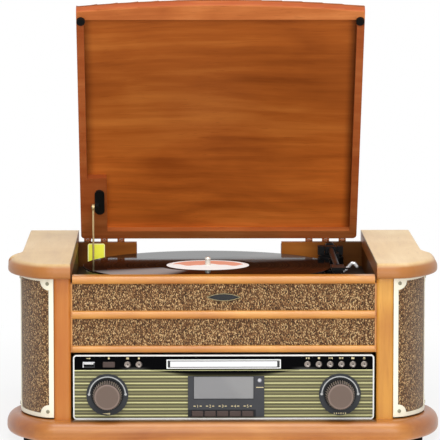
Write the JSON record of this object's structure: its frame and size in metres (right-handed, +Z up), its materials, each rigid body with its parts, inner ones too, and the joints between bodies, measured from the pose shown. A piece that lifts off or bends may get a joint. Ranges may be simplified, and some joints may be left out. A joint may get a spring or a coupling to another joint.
{
  "type": "music center",
  "caption": "Retro wooden music center with a hinged lid over a record turntable, curved cloth speaker corners, a disc drawer, display, push buttons and round knobs.",
  "frame": {"origin": "centre of the footprint on the surface under the feet", "axes": "+X to the right seen from the front, +Y to the back, +Z up; the controls face -Y"},
  "size_m": [0.5118, 0.374, 0.5145],
  "materials": {
    "cabinet_wood": "satin stained wood",
    "lid_wood": "satin stained wood",
    "back_board": "plain fibreboard",
    "foot_rubber": "matt",
    "speaker_cloth": "woven",
    "ivory_trim": "satin",
    "screw_steel": "plain",
    "driver": "matt",
    "emblem": "gloss",
    "fascia_print": "printed",
    "silver_trim": "silver",
    "display_plastic": "satin",
    "display_glass": "clear over grey",
    "dial_ring": "satin",
    "button_plastic": "satin",
    "knob_plastic": "satin",
    "shaft_steel": "plain",
    "tray_plastic": "satin",
    "chassis_steel": "plain",
    "circuit": "bare board",
    "sticker_paper": "matt",
    "hinge_brass": "plain",
    "black_steel": "satin",
    "guide_plastic": "satin",
    "deck_plastic": "satin",
    "platter_plastic": "satin",
    "vinyl": "gloss, grooved",
    "arm_plastic": "satin",
    "cue_chrome": "polished",
    "inlet_plastic": "matt"
  },
  "bodies": {
    "cabinet": {"base_board": "cabinet_wood", "top_boards": "cabinet_wood", "stiles": "cabinet_wood", "pillar_walls": "cabinet_wood", "hinge_blocks": "cabinet_wood", "front_frame": "cabinet_wood", "back_panel": "back_board", "feet": "foot_rubber", "grille_cloths": "speaker_cloth", "front_cloths": "speaker_cloth", "grille_frames": "ivory_trim", "grille_screws": "screw_steel", "speakers": "driver", "emblem_plate": "emblem", "fascia_panel": "fascia_print", "fascia_border": "silver_trim", "cd_bezel": "silver_trim", "usb_socket": "silver_trim", "display_module": "display_plastic", "display_windows": "display_glass", "dial_rings": "dial_ring", "cd_chassis": "chassis_steel", "turntable_drive": "chassis_steel", "electronics": "circuit", "blank_sticker": "sticker_paper", "cabinet_hinge_leaves": "hinge_brass", "stay_guide": "guide_plastic", "deck_plate": "deck_plastic", "tonearm_base": "arm_plastic", "mains_inlet": "inlet_plastic"},
    "lid": {"lid_panel": "lid_wood", "lid_frame": "lid_wood", "lid_bumpers": "foot_rubber", "lid_hinge_leaves": "hinge_brass", "stay_bracket": "black_steel"},
    "stay": {"stay_rod": "shaft_steel"},
    "platter": {"platter": "platter_plastic", "record": "vinyl"},
    "pulley": {"motor_pulley": "shaft_steel"},
    "yoke": {"tonearm_yoke": "arm_plastic"},
    "tonearm": {"tonearm": "arm_plastic"},
    "cue_lever": {"cue_lever": "cue_chrome"},
    "cd_tray": {"cd_tray": "tray_plastic"},
    "volume_knob": {"volume_knob": "knob_plastic"},
    "tuning_shaft": {"tuning_shaft": "shaft_steel"},
    "tuning_knob": {"tuning_knob": "knob_plastic"},
    "power_button": {"power_button": "button_plastic"},
    "function_button": {"function_button": "button_plastic"},
    "record_button": {"record_button": "button_plastic"},
    "play_button": {"play_button": "button_plastic"},
    "stop_button": {"stop_button": "button_plastic"},
    "next_button": {"next_button": "button_plastic"},
    "previous_button": {"previous_button": "button_plastic"},
    "folder_button": {"folder_button": "button_plastic"},
    "eject_button": {"eject_button": "button_plastic"},
    "menu_button_1": {"menu_button_1": "button_plastic"},
    "menu_button_2": {"menu_button_2": "button_plastic"},
    "menu_button_3": {"menu_button_3": "button_plastic"},
    "menu_button_4": {"menu_button_4": "button_plastic"},
    "menu_button_5": {"menu_button_5": "button_plastic"}
  },
  "joints": [
    {"name": "lid_hinge", "type": "hinge", "parent": "cabinet", "child": "lid", "pos_m": [0, 0.1731, 0.2037], "axis": [1, 0, 0], "range_deg": [0, 58.6]},
    {"name": "stay_pivot", "type": "hinge", "parent": "lid", "child": "stay", "pos_m": [-0.159, 0.14163, 0.24893], "axis": [1, 0, 0], "range_deg": [-58.6, 0]},
    {"name": "platter_spin", "type": "hinge", "parent": "cabinet", "child": "platter", "pos_m": [-0.017, 0.005, 0.172], "axis": [0, 0, -1], "continuous": true},
    {"name": "pulley_spin", "type": "hinge", "parent": "cabinet", "child": "pulley", "pos_m": [-0.10539, 0.09339, 0.172], "axis": [0, 0, -1], "continuous": true},
    {"name": "tonearm_swing", "type": "hinge", "parent": "cabinet", "child": "yoke", "pos_m": [0.137, 0.118, 0.198], "axis": [0, 0, -1], "range_deg": [0, 37]},
    {"name": "tonearm_lift", "type": "hinge", "parent": "yoke", "child": "tonearm", "pos_m": [0.137, 0.118, 0.198], "axis": [-1, 0, 0], "range_deg": [0, 2.5]},
    {"name": "cue_lever_turn", "type": "hinge", "parent": "cabinet", "child": "cue_lever", "pos_m": [0.147, 0.068, 0.1756], "axis": [1, 0, 0], "range_deg": [0, 45]},
    {"name": "cd_tray_slide", "type": "slide", "parent": "cabinet", "child": "cd_tray", "axis": [0, -1, 0], "range_m": [0, 0.13]},
    {"name": "volume_turn", "type": "hinge", "parent": "cabinet", "child": "volume_knob", "pos_m": [-0.1356, -0.167, 0.0612], "axis": [0, 1, 0], "range_deg": [-150, 150]},
    {"name": "tuning_push", "type": "slide", "parent": "cabinet", "child": "tuning_shaft", "axis": [0, 1, 0], "range_m": [0, 0.0015], "stiffness_N_per_m": 900},
    {"name": "tuning_turn", "type": "hinge", "parent": "tuning_shaft", "child": "tuning_knob", "pos_m": [0.1356, -0.167, 0.0612], "axis": [0, 1, 0], "continuous": true},
    {"name": "power_button_press", "type": "slide", "parent": "cabinet", "child": "power_button", "axis": [0, 1, 0], "range_m": [0, 0.001], "stiffness_N_per_m": 700},
    {"name": "function_button_press", "type": "slide", "parent": "cabinet", "child": "function_button", "axis": [0, 1, 0], "range_m": [0, 0.001], "stiffness_N_per_m": 700},
    {"name": "record_button_press", "type": "slide", "parent": "cabinet", "child": "record_button", "axis": [0, 1, 0], "range_m": [0, 0.001], "stiffness_N_per_m": 700},
    {"name": "play_button_press", "type": "slide", "parent": "cabinet", "child": "play_button", "axis": [0, 1, 0], "range_m": [0, 0.001], "stiffness_N_per_m": 700},
    {"name": "stop_button_press", "type": "slide", "parent": "cabinet", "child": "stop_button", "axis": [0, 1, 0], "range_m": [0, 0.001], "stiffness_N_per_m": 700},
    {"name": "next_button_press", "type": "slide", "parent": "cabinet", "child": "next_button", "axis": [0, 1, 0], "range_m": [0, 0.001], "stiffness_N_per_m": 700},
    {"name": "previous_button_press", "type": "slide", "parent": "cabinet", "child": "previous_button", "axis": [0, 1, 0], "range_m": [0, 0.001], "stiffness_N_per_m": 700},
    {"name": "folder_button_press", "type": "slide", "parent": "cabinet", "child": "folder_button", "axis": [0, 1, 0], "range_m": [0, 0.001], "stiffness_N_per_m": 700},
    {"name": "eject_button_press", "type": "slide", "parent": "cabinet", "child": "eject_button", "axis": [0, 1, 0], "range_m": [0, 0.001], "stiffness_N_per_m": 700},
    {"name": "menu_button_1_press", "type": "slide", "parent": "cabinet", "child": "menu_button_1", "axis": [0, 1, 0], "range_m": [0, 0.001], "stiffness_N_per_m": 700},
    {"name": "menu_button_2_press", "type": "slide", "parent": "cabinet", "child": "menu_button_2", "axis": [0, 1, 0], "range_m": [0, 0.001], "stiffness_N_per_m": 700},
    {"name": "menu_button_3_press", "type": "slide", "parent": "cabinet", "child": "menu_button_3", "axis": [0, 1, 0], "range_m": [0, 0.001], "stiffness_N_per_m": 700},
    {"name": "menu_button_4_press", "type": "slide", "parent": "cabinet", "child": "menu_button_4", "axis": [0, 1, 0], "range_m": [0, 0.001], "stiffness_N_per_m": 700},
    {"name": "menu_button_5_press", "type": "slide", "parent": "cabinet", "child": "menu_button_5", "axis": [0, 1, 0], "range_m": [0, 0.001], "stiffness_N_per_m": 700}
  ],
  "couplings": [
    {"joint": "stay_pivot", "follows": "lid_hinge", "ratio": -1},
    {"joint": "pulley_spin", "follows": "platter_spin", "ratio": 16.5}
  ]
}
